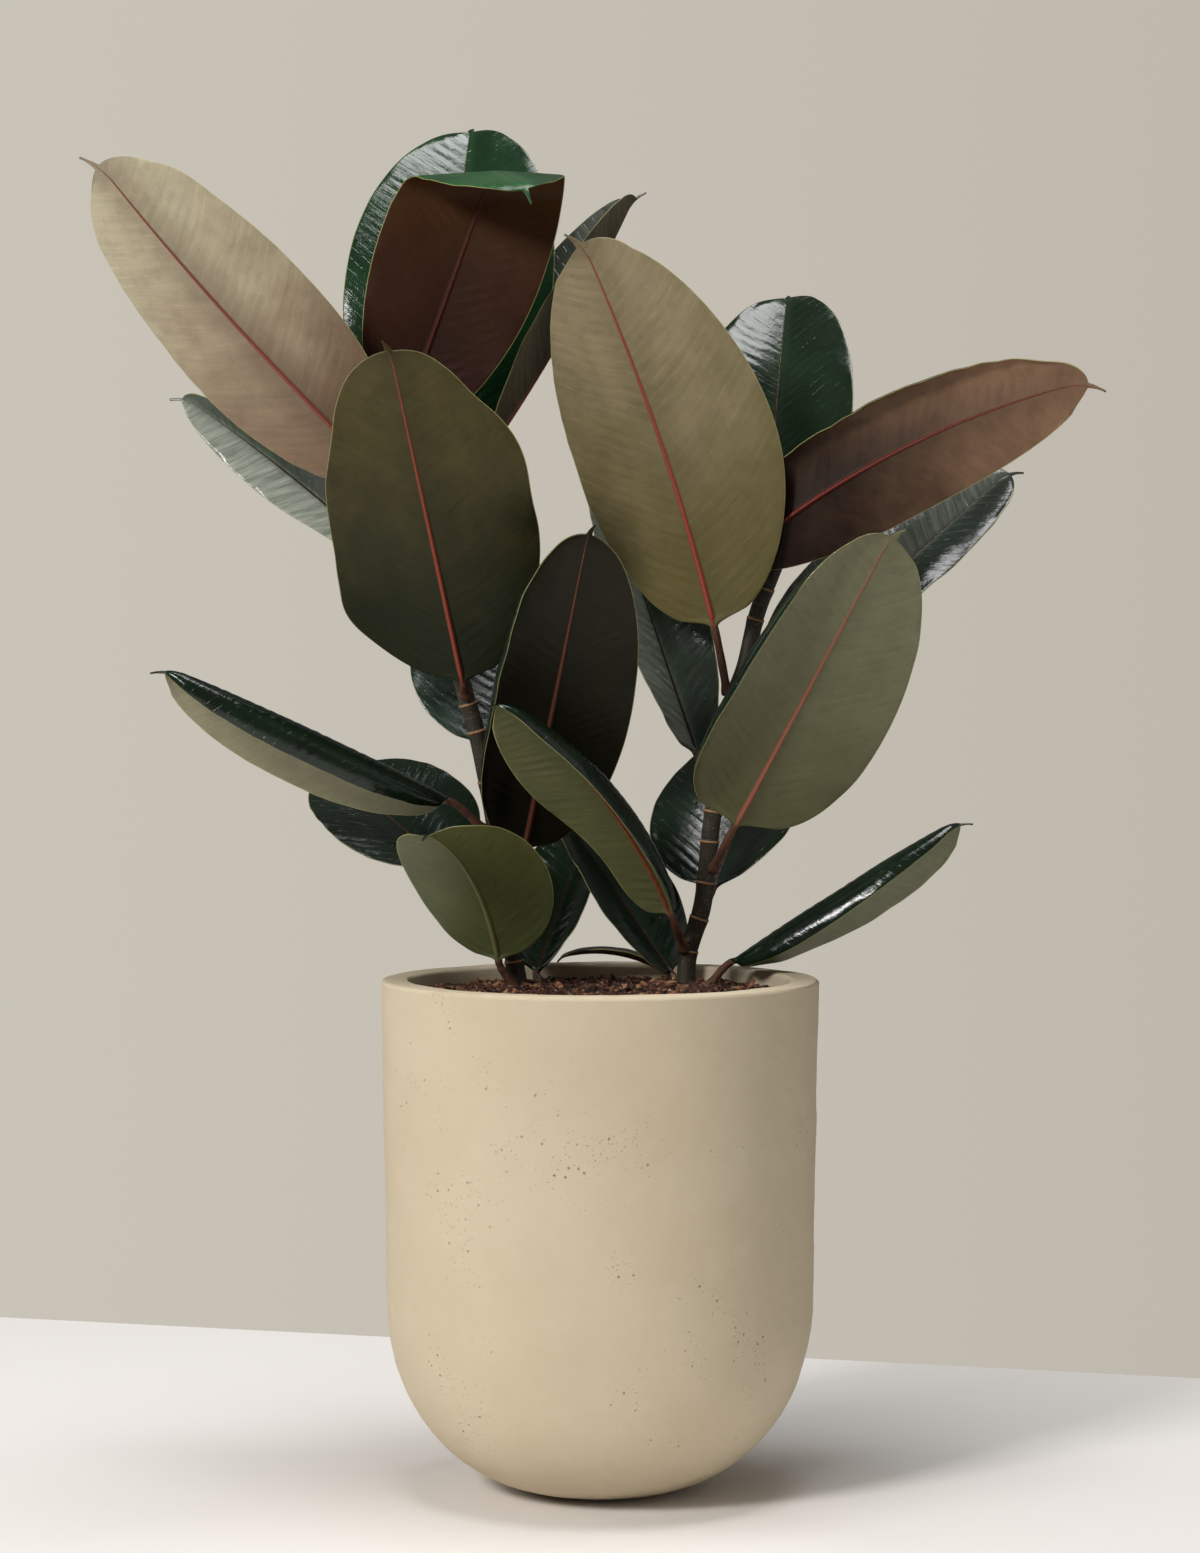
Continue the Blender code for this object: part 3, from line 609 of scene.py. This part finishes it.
def petiole_rings(leaf, seed, joint, start, toward, along, side):
    """rings of a petiole that curves from its joint to the blade's base, and their places in
    millimetres before it; along and side are the blade's directions at its base"""
    reach = np.linalg.norm(start - joint)
    a, b = joint + toward * reach * .36, start - along * reach * .30
    rings, places = [], []
    for x in np.linspace(0, 1, PETIOLE_RINGS + 1)[:-1]:
        p = (1 - x) ** 3 * joint + 3 * x * (1 - x) ** 2 * a + 3 * x * x * (1 - x) * b + x ** 3 * start
        d = unit(3 * (1 - x) ** 2 * (a - joint) + 6 * x * (1 - x) * (b - a) + 3 * x * x * (start - b))
        s = unit(side - d * np.dot(side, d))
        r = PETIOLE_RADIUS * (1.15 - .15 * x) * (1 + .42 * np.exp(-(x * reach / .0045) ** 2)
                                                 + .05 * waves(x * 100, 0, seed, 30, 4))
        if x == 0:      # set into the mix or the stem's bark
            p = p - toward * (.003 if leaf["on"] == "mix" else .0012)
        rings.append(p + r * (np.cos(TURN)[:, None] * s + np.sin(TURN)[:, None] * np.cross(d, s)))
        places.append(-reach * 1000 * (1 - x))
    return np.array(rings), np.array(places)


def make_leaf(number, leaf, mat):
    seed = int(number)
    axis, joint, toward = petiole_start(leaf)
    start = axis + toward * leaf["petiole"][0] / 1000
    shares, *lines = blade_line(leaf, start)
    length = leaf["blade"][0] * LEAF_SCALE
    t = np.linspace(0, 1, int(length / RING_STEP))
    t = np.unique(np.concatenate([t, np.linspace(0, .03, 12), np.linspace(.94, 1, 24)]))
    frames = [np.stack([np.interp(t, shares, line[:, k]) for k in range(3)], -1) for line in lines]
    place, normal, v = blade_rows(leaf, t, frames, start)
    q = np.abs(ACROSS)[None]
    u = (t * length)[:, None] + 0 * v
    across = v * np.sign(ACROSS)
    # passes a whole number at each side vein
    phase = (u - .50 * v - .0030 * v * v) / VEIN_SPACING + .20 * waves(u, across, seed, 75)
    phase = phase + .05 * waves(u, across, seed + 30, 30)
    phase = phase + np.where(ACROSS > 0, .37, 0)
    rib_half = 1.55 * (1 - t)[:, None] ** .8 + .22
    place = place + normal * blade_relief(number, t, v, across, phase, rib_half, u)[..., None]
    ragged = RAGGED * waves(u, across * 0, seed + 7, 23) * smooth_step(q, .88, 1)
    place = place + normal * ragged[..., None]
    # the blade grows out of the petiole's round section
    points, _, side, face = frames
    circle = points[:, None] + PETIOLE_RADIUS * (np.cos(TURN)[None, :, None] * side[:, None]
                                                 + np.sin(TURN)[None, :, None] * face[:, None])
    blend = smooth_step(t, 0, .035)[:, None, None]
    blade = circle * (1 - blend) + place * blend
    petiole, before = petiole_rings(leaf, seed, joint, start, toward, lines[1][0], lines[2][0])

    def joined(first, values):
        """a tag's values on the petiole, then on the blade"""
        return np.concatenate([np.broadcast_to(first, (PETIOLE_RINGS, len(ACROSS))), values])

    tags = {
        "u": joined(before[:, None], u),
        "v": joined(PETIOLE_RADIUS * 1000 * np.sin(TURN)[None], across),
        "t": joined(0, t[:, None] + 0 * v),
        "phase": joined(0, phase),
        "edge": joined(20, (1 - q) * v / np.maximum(q, .05) + 8 * np.exp(-t / .01)[:, None]),
        "mid": joined(3, rib_half - v),
        "under": joined(UNDER[None], UNDER[None] + 0 * v),
        "stalk": joined(1, np.clip(1 - t / .012, 0, 1)[:, None] + 0 * v),
    }
    obj = capped("foliage_" + number, np.concatenate([petiole, blade]), mat, tags)
    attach(obj, "root")
    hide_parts("leaf_" + number)
    return obj


# ---- finishes, one entry per leaf that differs -----------------------------
BASE_LOOK = dict(slot="leaf_green", under=srgb(86, 84, 56), under_tip=srgb(106, 104, 74),
                 top=srgb(19, 34, 21), rib=srgb(140, 66, 48), rib_top=srgb(60, 40, 30))
# a look's sheen strength paints pale streaks on the upper face in place of a reflection
LOOKS = {
    "01": dict(slot="leaf_taupe", under=srgb(126, 102, 78), under_tip=srgb(186, 176, 148),
               rib=srgb(132, 58, 48), shade=.42, stripe=.11),
    # leaf 02: the dark lower face is partly its maroon and partly painted shade, as it faces down and
    # is overhung
    "02": dict(slot="leaf_maroon", under=srgb(46, 17, 3), under_tip=srgb(70, 42, 10),
               top=srgb(40, 82, 46), rib=srgb(74, 20, 16), vein=.03, specular=.18,
               rough_under=.6, stripe=.05),
    # leaf 03: the dark base of the lower face is partly painted shade, that of the leaves above it
    "03": dict(slot="leaf_olive", under=srgb(26, 30, 6), under_tip=srgb(74, 66, 32),
               rib=srgb(140, 58, 44), specular=.22),
    "04": dict(top=srgb(27, 56, 32)),
    "05": dict(under=srgb(78, 70, 48), under_tip=srgb(110, 102, 80), stripe=.35,
               top=srgb(30, 34, 26), painted_sheen=.15),
    "06": dict(under=srgb(104, 104, 84), under_tip=srgb(120, 120, 100), top=srgb(34, 52, 36),
               painted_sheen=.85),
    "07": dict(slot="leaf_olive", under=srgb(122, 120, 92), under_tip=srgb(142, 138, 110)),
    "09": dict(slot="leaf_olive", under=srgb(78, 84, 46), under_tip=srgb(88, 92, 52),
               rib=srgb(104, 102, 58)),
    "10": dict(slot="leaf_olive", under=srgb(94, 98, 60), under_tip=srgb(96, 98, 62)),
    "11": dict(slot="leaf_olive", under=srgb(16, 15, 2), under_tip=srgb(28, 26, 6),
               rib=srgb(96, 44, 32), specular=.2, vein=.04),
    "12": dict(top=srgb(22, 44, 30)),
    "13": dict(slot="leaf_taupe", under=srgb(100, 90, 48), under_tip=srgb(148, 134, 104),
               rib=srgb(152, 58, 46), stripe=.11),
    "14": dict(top=srgb(25, 42, 26)),
    # leaf 15: the very dark base is partly its maroon and partly painted shadow, that of leaf 13,
    # carried far along the blade
    "15": dict(slot="leaf_maroon", under=srgb(30, 10, 1), under_tip=srgb(132, 102, 78),
               rib=srgb(110, 34, 28), specular=.22, vein=.06, stripe=.09, tip_ramp=(.12, .98)),
    "16": dict(top=srgb(24, 34, 26), painted_sheen=.22),
    "17": dict(slot="leaf_olive", under=srgb(88, 86, 52), under_tip=srgb(112, 112, 82),
               rib=srgb(150, 84, 64)),
    "19": dict(top=srgb(34, 46, 36), painted_sheen=.42),
    "20": dict(slot="leaf_olive", under=srgb(100, 102, 76), under_tip=srgb(108, 110, 82)),
}


# ---- stems -----------------------------------------------------------------
SET_DEPTHS = (.030, .020, .010, .004)       # rings of a stem below the mix, metres
BARK_INSET = .0002                          # leaves room for the scars inside the CAD's stem


def bark_finish():
    m = Nodes("bark")
    ring, bud = m.tag("ring"), m.tag("bud")
    place = m.place()
    long_streaks = m.noise(m.scaled(place, 900, 900, 70), 1, 4, .65)
    patches = m.noise(place, 60, 3)
    # bark tones, partly its own dark colour and partly painted shade: darkened to match a stem in
    # shade
    colour = m.mix(m.ease(long_streaks, .3, .7), srgb(24, 20, 12), srgb(58, 49, 33))
    colour = m.mix(m.ease(patches, .45, .65, 0, .5), colour, srgb(50, 50, 30))
    spots = m.ease(m.cells(m.scaled(place, 420, 420, 300), 1), .12, .2, 1, 0)
    colour = m.mix(m.times(spots, .6), colour, srgb(150, 124, 88))
    # ring: millimetres above the nearest scar
    scar = m.ease(m.size(ring), .35, .9, 1, 0)
    colour = m.mix(m.times(scar, .85), colour, srgb(168, 122, 74))
    below = m.times(m.ease(ring, -3.2, -.8), m.ease(ring, -.8, -.5, 1, 0))
    colour = m.mix(m.times(below, .6), colour, srgb(40, 30, 20))
    tip = m.mix(m.ease(long_streaks, .35, .65), srgb(120, 52, 40), srgb(88, 84, 44))
    m.set("Base Color", m.mix(bud, colour, tip))
    m.set("Roughness", m.ease(long_streaks, .3, .7, .62, .48))
    m.bump(m.plus(long_streaks, m.times(spots, .5)), .0004, .8)
    return m.mat


def make_stem(name, mat):
    line = STEM_LINES[name]
    top = line[-1][2] / 1000
    x, y = line[0][0] / 1000, line[0][1] / 1000
    nodes = np.array(STEM_NODES[name]) / 1000
    heights = np.unique(np.round(np.concatenate(
        [np.arange(0, top, .0016)] + [n + np.linspace(-.004, .004, 17) for n in nodes]), 5))
    heights = heights[(heights >= 0) & (heights <= top)]
    # point, direction, radius and height above the mix of each ring
    stations = [(np.array([x, y, MIX_LEVEL - d]), np.array([0, 0, 1.]), STEM_RADIUS * 1.04, -d)
                for d in SET_DEPTHS]
    for h in heights:
        point, along = stem_at(name, h)
        gap = h - nodes
        ledge = (.00055 * np.exp(-(gap / .0008) ** 2)
                 + .00035 * np.exp(-((gap + .002) / .0022) ** 2)).sum()
        thin = -.0002 * np.exp(-((gap - .0016) / .0007) ** 2).sum()
        stations.append((point, along, stem_radius(h, top) - BARK_INSET + ledge + thin, h))
    point, along = stem_at(name, top)
    for f in np.linspace(.03, 1, 24):       # the bud
        r = .85 * (1 - f ** 1.6) ** .75 * (1 + .12 * np.sin(f * 3.1)) + .02
        stations.append((point + along * BUD_LENGTH * f, along, STEM_RADIUS * r,
                         top + BUD_LENGTH * f))
    turn = 2 * np.pi * np.arange(STEM_COLUMNS) / STEM_COLUMNS
    rings, from_scar = [], []
    for point, along, r, h in stations:
        s = unit(np.cross([0, 1, 0], along))
        n = np.cross(along, s)
        rr = r * (1 + .012 * np.sin(3 * turn + h * 60) + .010 * np.sin(7 * turn - h * 90))
        rings.append(point + rr[:, None] * (np.cos(turn)[:, None] * s + np.sin(turn)[:, None] * n))
        gap = (h - nodes) * 1000
        from_scar.append(gap[np.argmin(np.abs(gap))])
    in_bud = smooth_step(np.array([h * 1000 for *_, h in stations]), top * 1000 - 4, top * 1000 + 3)
    wide = np.ones(STEM_COLUMNS)
    tags = {"ring": np.outer(from_scar, wide), "bud": np.outer(in_bud, wide)}
    obj = capped("bark_" + name, np.array(rings), mat, tags)
    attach(obj, "root")
    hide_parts("stem_" + name)


# ---- potting mix -----------------------------------------------------------
MIX_ROUGHNESS = .9
CRUMB_RISE = .0010          # how far the crumbly surface lies above the smooth one
SINK = .15                  # share of a bit's height by which its middle lies above the surface


def mix_finish(name, dark, light, accent, pale):
    """crumbly browns that change from bit to bit; pale is the rarest"""
    m = Nodes(name)
    place = m.place()
    grain, lumps = m.noise(place, 900, 4, .7), m.noise(place, 170, 4, .6)
    colour = m.mix(m.ease(grain, .3, .7), dark, light)
    colour = m.mix(m.ease(lumps, .52, .68), colour, accent)
    each = m.cells(place, 210, "Color")
    colour = m.mix(m.ease(each, .45, .62, 0, .8), colour, accent)
    m.set("Base Color", m.mix(m.ease(each, .64, .74, 0, .8), colour, pale))
    m.set("Roughness", MIX_ROUGHNESS)
    m.bump(m.plus(grain, lumps), .0009, 1.0)
    return m.mat


def soil_height(x, y):
    """height of the crumbly surface, metres"""
    a, b = x * 1000, y * 1000
    base = mix_height(x, y) + CRUMB_RISE
    rough = .0013 * waves(a, b, 3, 26) + .0009 * waves(a, b, 4, 9) + .0007 * waves(a, b, 5, 4.2)
    for line in STEM_LINES.values():        # heaped a little round each stem
        d = np.hypot(x - line[0][0] / 1000, y - line[0][1] / 1000)
        base = base + .0035 * np.exp(-(d / .016) ** 2)
    return base + rough


def make_soil(mat):
    turn = 2 * np.pi * np.arange(SOIL_COLUMNS) / SOIL_COLUMNS
    rings = []
    for r in np.linspace(.0008, pot_radius(MIX_LEVEL, POT_WALL) - .0004, SOIL_RINGS):
        rings.append(level_ring(r, soil_height(r * np.cos(turn), r * np.sin(turn)), turn))
    for z in np.linspace(MIX_LEVEL - .008, POT_ROUNDING, 12):
        rings.append(level_ring(pot_radius(z, POT_WALL) - .0005, z, turn))
    for a in np.radians(np.linspace(8, 88, 12)):
        z = POT_ROUNDING - (POT_ROUNDING - POT_FLOOR) * np.sin(a) + .0005
        rings.append(level_ring(pot_radius(z, POT_WALL) - .0008, z, turn))
    obj = capped("soil", np.array(rings), mat)
    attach(obj, "root")
    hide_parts("potting_mix")


def bit_shape():
    """unit lump of 42 points, as plain arrays"""
    bm = bmesh.new()
    bmesh.ops.create_icosphere(bm, subdivisions=2, radius=1)
    verts = np.array([v.co for v in bm.verts])
    faces = np.array([[v.index for v in f.verts] for f in bm.faces])
    bm.free()
    return verts, faces


def turned(yaw, tip, roll):
    """rotation matrix about Z, Y and X"""
    cy, sy, ct, st = np.cos(yaw), np.sin(yaw), np.cos(tip), np.sin(tip)
    cr, sr = np.cos(roll), np.sin(roll)
    return (np.array([[cy, -sy, 0], [sy, cy, 0], [0, 0, 1]])
            @ np.array([[ct, 0, st], [0, 1, 0], [-st, 0, ct]])
            @ np.array([[1, 0, 0], [0, cr, -sr], [0, sr, cr]]))


def make_bits(name, mat, count, size, shape, seed):
    """loose bits lying on the mix: size = (smallest, largest) in mm, shape = proportions"""
    rng = np.random.default_rng(seed)
    ball, tris = bit_shape()
    wall = pot_radius(MIX_LEVEL, POT_WALL) - .0035
    verts, faces = [], []
    for number in range(count):
        r, a = wall * np.sqrt(rng.uniform(0, 1)), rng.uniform(0, 2 * np.pi)
        x, y = r * np.cos(a), r * np.sin(a)
        big = size[0] + (size[1] - size[0]) * rng.uniform(0, 1) ** 2.2
        form = np.array(shape) * rng.uniform(.7, 1.3, 3) * big / 2000
        lump = ball * (1 + .22 * rng.normal(0, 1, len(ball))[:, None].clip(-1.6, 1.6))
        lump = np.sign(lump) * np.abs(lump) ** .8 * form
        yaw, tip, roll = rng.uniform(0, 2 * np.pi), rng.normal(0, .35), rng.normal(0, .45)
        lump = lump @ turned(yaw, tip, roll).T
        z = soil_height(x, y) + SINK * (lump[:, 2].max() - lump[:, 2].min())
        verts.append(lump + [x, y, z])
        faces.append(tris + number * len(ball))
    obj = mesh_object(name, np.concatenate(verts), np.concatenate(faces), mat, smooth=False)
    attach(obj, "root")


# ---- planter ---------------------------------------------------------------
SMALLEST_RING = .0004       # radius of the rings that close the foot and the floor, metres
PIT_CLUSTERS = (            # middle, reach in metres, strength
    ((-.125, -.085, .285), .060, 1.0),
    ((-.045, -.142, .262), .055, .9),
    ((.02, -.148, .245), .045, .8),
    ((-.09, -.12, .19), .060, .5),
)


def stone_finish():
    m = Nodes("cast_stone")
    place = m.place()
    cloud, mottle = m.noise(place, 9, 4, .6), m.noise(place, 46, 4, .6)
    grain, layers = m.noise(place, 900, 3, .7), m.noise(m.scaled(place, 14, 14, 40), 1, 3)
    colour = m.mix(m.ease(cloud, .3, .7), srgb(203, 188, 160), srgb(208, 194, 167))
    colour = m.mix(m.ease(mottle, .50, .75, 0, .16), colour, srgb(216, 204, 180))
    colour = m.mix(m.ease(layers, .55, .8, 0, .10), colour, srgb(190, 173, 142))
    colour = m.mix(m.ease(grain, .60, .85, 0, .22), colour, srgb(184, 166, 134))
    # pits, where the noise or one of the clusters gathers them
    groups = m.ease(m.noise(place, 17, 2), .57, .68)
    for spot, reach, amount in PIT_CLUSTERS:
        away = m.node("VectorMath", operation="DISTANCE")
        m.put(away.inputs[0], place)
        away.inputs[1].default_value = spot
        near = m.times(m.ease(away.outputs["Value"], .2 * reach, reach, amount, 0),
                       m.ease(m.noise(place, 55, 2), .42, .60))
        groups = m.math("MAXIMUM", groups, near)
    pits = m.times(m.ease(m.cells(place, 140), .07, .16, 1, 0), groups)
    small = m.times(m.ease(m.cells(place, 300), .08, .17, 1, 0), groups)
    pits = m.math("MAXIMUM", pits, m.times(small, .8))
    m.set("Base Color", m.mix(m.times(pits, .75), colour, srgb(142, 116, 78)))
    m.set("Roughness", m.ease(mottle, .3, .7, .62, .78))
    m.set("Specular IOR Level", .35)
    m.bump(m.plus(m.times(pits, -3.0), m.plus(grain, mottle)), .0005, .6)
    return m.mat


def planter_profile():
    """radius and height of each ring: foot, outside, rim, inside and floor"""
    top, e = POT_HEIGHT, RIM_EDGE
    r0, r1 = pot_radius(top), pot_radius(top, POT_WALL)
    fall = np.radians(np.linspace(0, 90, 70))[1:]
    rise = np.radians(np.linspace(2, 90, 30))
    outer_edge, inner_edge = np.radians(np.linspace(8, 90, 10)), np.radians(np.linspace(0, 84, 10))
    foot, floor = pot_radius(0), pot_radius(POT_FLOOR, POT_WALL)
    outside = [*(POT_ROUNDING - POT_ROUNDING * np.cos(fall)),
               *np.linspace(POT_ROUNDING, top - e, 90)[1:]]
    inside = [*np.linspace(top - e, POT_ROUNDING, 60),
              *(POT_ROUNDING - (POT_ROUNDING - POT_FLOOR) * np.sin(rise))]
    return ([(max(SMALLEST_RING, foot * f), 0) for f in np.linspace(0, 1, 8)]
            + [(pot_radius(z), z) for z in outside]
            + [(r0 - e + e * np.cos(a), top - e + e * np.sin(a)) for a in outer_edge]
            + [(r, top) for r in np.linspace(r0 - e, r1 + e, 8)[1:-1]]
            + [(r1 + e - e * np.sin(a), top - e + e * np.cos(a)) for a in inner_edge]
            + [(pot_radius(z, POT_WALL), z) for z in inside]
            + [(max(SMALLEST_RING, floor * f), POT_FLOOR) for f in (.8, .5, .2, 0)])


def make_planter(mat):
    turn = 2 * np.pi * np.arange(POT_COLUMNS) / POT_COLUMNS
    round_mm = turn * 150
    rings = []
    for r, z in planter_profile():
        uneven = (.00035 * waves(round_mm, z * 1000, 11, 55)
                  + .00012 * waves(round_mm, z * 1000, 12, 14)) * min(1, r / .03)
        if z > POT_HEIGHT - .3 * RIM_EDGE:
            rings.append(level_ring(r, z + uneven * .8, turn))
        else:
            rings.append(level_ring(r + uneven - .0002, z, turn))
    obj = capped("planter", np.array(rings), mat)
    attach(obj, "root")
    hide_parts("pot")


# ---- everything ------------------------------------------------------------
LITTER = (  # piece, finish and its colours, how many, smallest and largest in mm, proportions, seed
    ("soil_crumbs", "crumb", ((24, 15, 11), (62, 38, 28), (98, 58, 40), (150, 112, 78)),
     2400, (1.2, 3.6), (1, .85, .6), 21),
    ("bark_chips", "chip", ((48, 26, 18), (98, 56, 38), (134, 84, 56), (176, 134, 96)),
     900, (1.8, 6.0), (1.4, .8, .45), 22),
    ("perlite", "pale_bit", ((140, 112, 84), (196, 170, 136), (214, 196, 168), (226, 214, 196)),
     220, (1.0, 2.4), (1, .9, .8), 23),
)
make_planter(stone_finish())
make_soil(mix_finish("soil_dark", srgb(28, 18, 14), srgb(56, 36, 28), srgb(84, 50, 36),
                     srgb(120, 84, 60)))
for piece, finish, colours, *rest in LITTER:
    make_bits(piece, mix_finish(finish, *(srgb(*levels) for levels in colours)), *rest)
bark = bark_finish()
for stem in STEM_LINES:
    make_stem(stem, bark)
for number, leaf in LEAVES.items():
    look = dict(BASE_LOOK, **LOOKS.get(number, {}))
    slot = look.pop("slot")
    finish = leaf_finish("leaf_%s_finish" % number, seed=int(number), **look)
    make_leaf(number, leaf, finish)

# ---- surroundings ----------------------------------------------------------
floor = Nodes("table_top")
spot = floor.noise(floor.place(), 3, 3)
floor.set("Base Color", floor.mix(spot, (.86, .83, .80), (.88, .85, .82)))
floor.set("Roughness", .75)
back = [np.array(TABLE_EDGE[0]), np.array(TABLE_EDGE[1])]
run = unit(back[1] - back[0])
depth = np.array([run[1], -run[0]]) * TABLE_DEPTH
far = [back[0] - TABLE_OVERHANG * run, back[1] + TABLE_OVERHANG * run]
corners = [far[0] + depth, far[1] + depth, far[1], far[0]]
plate = mesh_object("table_top", [(*c, z) for z in (0, -TABLE_THICKNESS) for c in corners],
                    [(0, 1, 2, 3), (7, 6, 5, 4), (4, 5, 1, 0), (5, 6, 2, 1), (6, 7, 3, 2),
                     (7, 4, 0, 3)], floor.mat, smooth=False)
plate.location.z = -TABLE_DROP

# the world: a plain backdrop for the camera, with painted light falloff from the lighter left to the
# darker right, and a dim warm white for every other ray
BACKDROP = srgb(203, 197, 186), srgb(189, 182, 171)     # left and right
BACKDROP_REACH = .22                                    # of the view direction's X, to either side
scene = bpy.context.scene
world = bpy.data.worlds.new("studio")
scene.world = world
world.use_nodes = True
links, nodes = world.node_tree.links, world.node_tree.nodes
seen, felt = nodes["Background"], nodes.new("ShaderNodeBackground")
pick, path = nodes.new("ShaderNodeMixShader"), nodes.new("ShaderNodeLightPath")
where, axes = nodes.new("ShaderNodeTexCoord"), nodes.new("ShaderNodeSeparateXYZ")
sweep, tone = nodes.new("ShaderNodeMapRange"), nodes.new("ShaderNodeMix")
tone.data_type = "RGBA"
sweep.inputs["From Min"].default_value = -BACKDROP_REACH
sweep.inputs["From Max"].default_value = BACKDROP_REACH
tone.inputs[6].default_value, tone.inputs[7].default_value = ((*c, 1) for c in BACKDROP)
felt.inputs["Color"].default_value = (*WORLD_TINT, 1)
felt.inputs["Strength"].default_value = WORLD_LIGHT
for source, target in (
        (where.outputs["Generated"], axes.inputs[0]), (axes.outputs["X"], sweep.inputs[0]),
        (sweep.outputs[0], tone.inputs[0]), (tone.outputs[2], seen.inputs["Color"]),
        (path.outputs["Is Camera Ray"], pick.inputs[0]), (felt.outputs[0], pick.inputs[1]),
        (seen.outputs[0], pick.inputs[2]), (pick.outputs[0], nodes["World Output"].inputs["Surface"])):
    links.new(source, target)
scene.view_settings.view_transform = "Standard"


def lamp(name, place, target, size, power, colour):
    """a soft rectangular lamp that points from place to target"""
    data = bpy.data.lights.new(name, "AREA")
    data.shape, data.size, data.size_y = "RECTANGLE", size[0], size[1]
    data.energy, data.color = power, colour
    obj = bpy.data.objects.new(name, data)
    scene.collection.objects.link(obj)
    obj.location = place
    toward = unit(np.array(target, float) - np.array(place, float))
    obj.rotation_euler = Vector(toward).to_track_quat("-Z", "Y").to_euler()


for name, setup in LAMPS.items():
    lamp(name, *setup)

view = bpy.data.cameras.new("view")
view.sensor_width, view.lens = 36, CAMERA_LENS
view.clip_end = 50
camera = bpy.data.objects.new("view", view)
scene.collection.objects.link(camera)
camera.location = (0, -CAMERA_DISTANCE, CAMERA_HEIGHT)
camera.rotation_euler = (np.radians(90 - CAMERA_TILT), 0, 0)
scene.camera = camera
